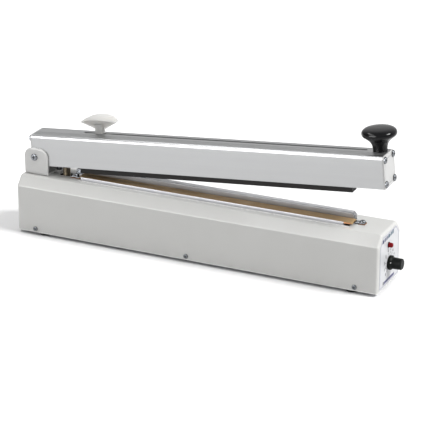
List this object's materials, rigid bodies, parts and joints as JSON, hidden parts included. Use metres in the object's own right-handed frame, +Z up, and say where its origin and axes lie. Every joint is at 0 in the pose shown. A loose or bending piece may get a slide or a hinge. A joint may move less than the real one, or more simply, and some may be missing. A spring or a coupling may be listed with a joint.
{
  "type": "impulse heat sealer",
  "caption": "Benchtop impulse heat sealer: a long chamfered base with a heated jaw, a hinged pressing arm with a sliding cutter, a timer dial and a lamp.",
  "frame": {"origin": "centre of the bounding box in X and Y, at the underside of the feet in Z", "axes": "+X from the hinge to the control panel, +Y to the rear, +Z up"},
  "size_m": [0.5404, 0.0812, 0.211],
  "materials": {
    "powder_coat": "powder coat, pale warm grey",
    "zinc_sheet": "zinc-plated sheet",
    "screw_steel": "nickel-plated",
    "foot_rubber": "matt black",
    "panel_print": "printed film on a thin plate",
    "lamp_red": "clear red",
    "black_plastic": "moulded, glossy",
    "knob_plastic": "moulded, satin",
    "dot_white": "filled dot",
    "pot_case": "stamped case",
    "board_laminate": "coated laminate",
    "brass_plated": "bright",
    "relay_case": "moulded",
    "capacitor_sleeve": "shrink sleeve",
    "core_steel": "varnished laminations",
    "coil_tape": "wrapped tape",
    "switch_case": "moulded",
    "plunger_plastic": "moulded",
    "spring_bronze": "phosphor bronze wire",
    "bracket_paint": "powder coat",
    "anodised": "satin anodised extrusion",
    "end_plate_paint": "powder coat",
    "silicone_black": "silicone, satin",
    "cloth_tan": "coated glass cloth",
    "tape_white": "glass tape",
    "element_metal": "resistance ribbon",
    "copper": "tinned copper, darkened by heat",
    "pad_phenolic": "laminate",
    "lead_insulation": "silicone lead",
    "white_plastic": "moulded, translucent white",
    "carriage_plastic": "acetal",
    "blade_steel": "ground"
  },
  "bodies": {
    "base": {"base_housing": "powder_coat", "bottom_plate": "zinc_sheet", "housing_screws": "screw_steel", "rubber_feet": "foot_rubber", "foot_screws": "screw_steel", "panel_label": "panel_print", "indicator_lamp": "lamp_red", "lamp_bezel": "black_plastic", "timer_potentiometer": "pot_case", "potentiometer_nut": "screw_steel", "circuit_board": "board_laminate", "board_standoffs": "brass_plated", "board_screws": "screw_steel", "timing_relay": "relay_case", "board_capacitors": "capacitor_sleeve", "transformer_core": "core_steel", "transformer_coil": "coil_tape", "transformer_screws": "screw_steel", "spring_seat": "zinc_sheet", "micro_switch": "switch_case", "switch_screws": "screw_steel", "return_spring": "spring_bronze", "hinge_bracket": "bracket_paint", "bracket_screws": "screw_steel", "hinge_bolt": "screw_steel", "hinge_nut": "screw_steel", "seal_bar": "anodised", "cover_clamp": "anodised", "insulation_tape": "tape_white", "heating_element": "element_metal", "cover_cloth": "cloth_tan", "cutter_guide": "anodised", "terminal_insulators": "pad_phenolic", "terminal_left": "screw_steel", "element_tab": "copper", "terminal_right": "screw_steel", "terminal_screws": "screw_steel", "power_inlet": "black_plastic", "inlet_pins": "brass_plated", "inlet_screws": "screw_steel", "wiring": "lead_insulation"},
    "dial": {"timer_shaft": "brass_plated", "timer_knob": "knob_plastic", "knob_pointer": "dot_white"},
    "plunger": {"switch_plunger": "plunger_plastic"},
    "arm": {"arm_beam": "anodised", "hinge_spacer": "zinc_sheet", "arm_end_plate_left": "end_plate_paint", "arm_end_plate_right": "end_plate_paint", "end_plate_screws": "screw_steel", "strip_holder": "silicone_black", "press_strip": "silicone_black", "press_knob": "black_plastic", "knob_stud": "screw_steel", "switch_rod": "brass_plated"},
    "cutter": {"cutter_knob": "white_plastic", "cutter_stem": "screw_steel", "cutter_carriage": "carriage_plastic", "cutter_blade": "blade_steel", "blade_screws": "screw_steel"}
  },
  "joints": [
    {"name": "arm_hinge", "type": "hinge", "parent": "base", "child": "arm", "pos_m": [-0.25085, 0, 0.1051], "axis": [0, -1, 0], "range_deg": [-5.2, 55], "stiffness_Nm_per_rad": 4.2, "springref_deg": 20.05, "deforming": ["return_spring"]},
    {"name": "cutter_slide", "type": "slide", "parent": "arm", "child": "cutter", "axis": [0.9959, 0, 0.0906], "range_m": [-0.015, 0.346]},
    {"name": "timer_dial", "type": "hinge", "parent": "base", "child": "dial", "pos_m": [0.25175, 0, 0.0337], "axis": [-1, 0, 0], "range_deg": [-45, 225]},
    {"name": "switch_press", "type": "slide", "parent": "base", "child": "plunger", "axis": [0, 0, -1], "range_m": [0, 0.002], "stiffness_N_per_m": 250, "springref_m": -0.002}
  ]
}
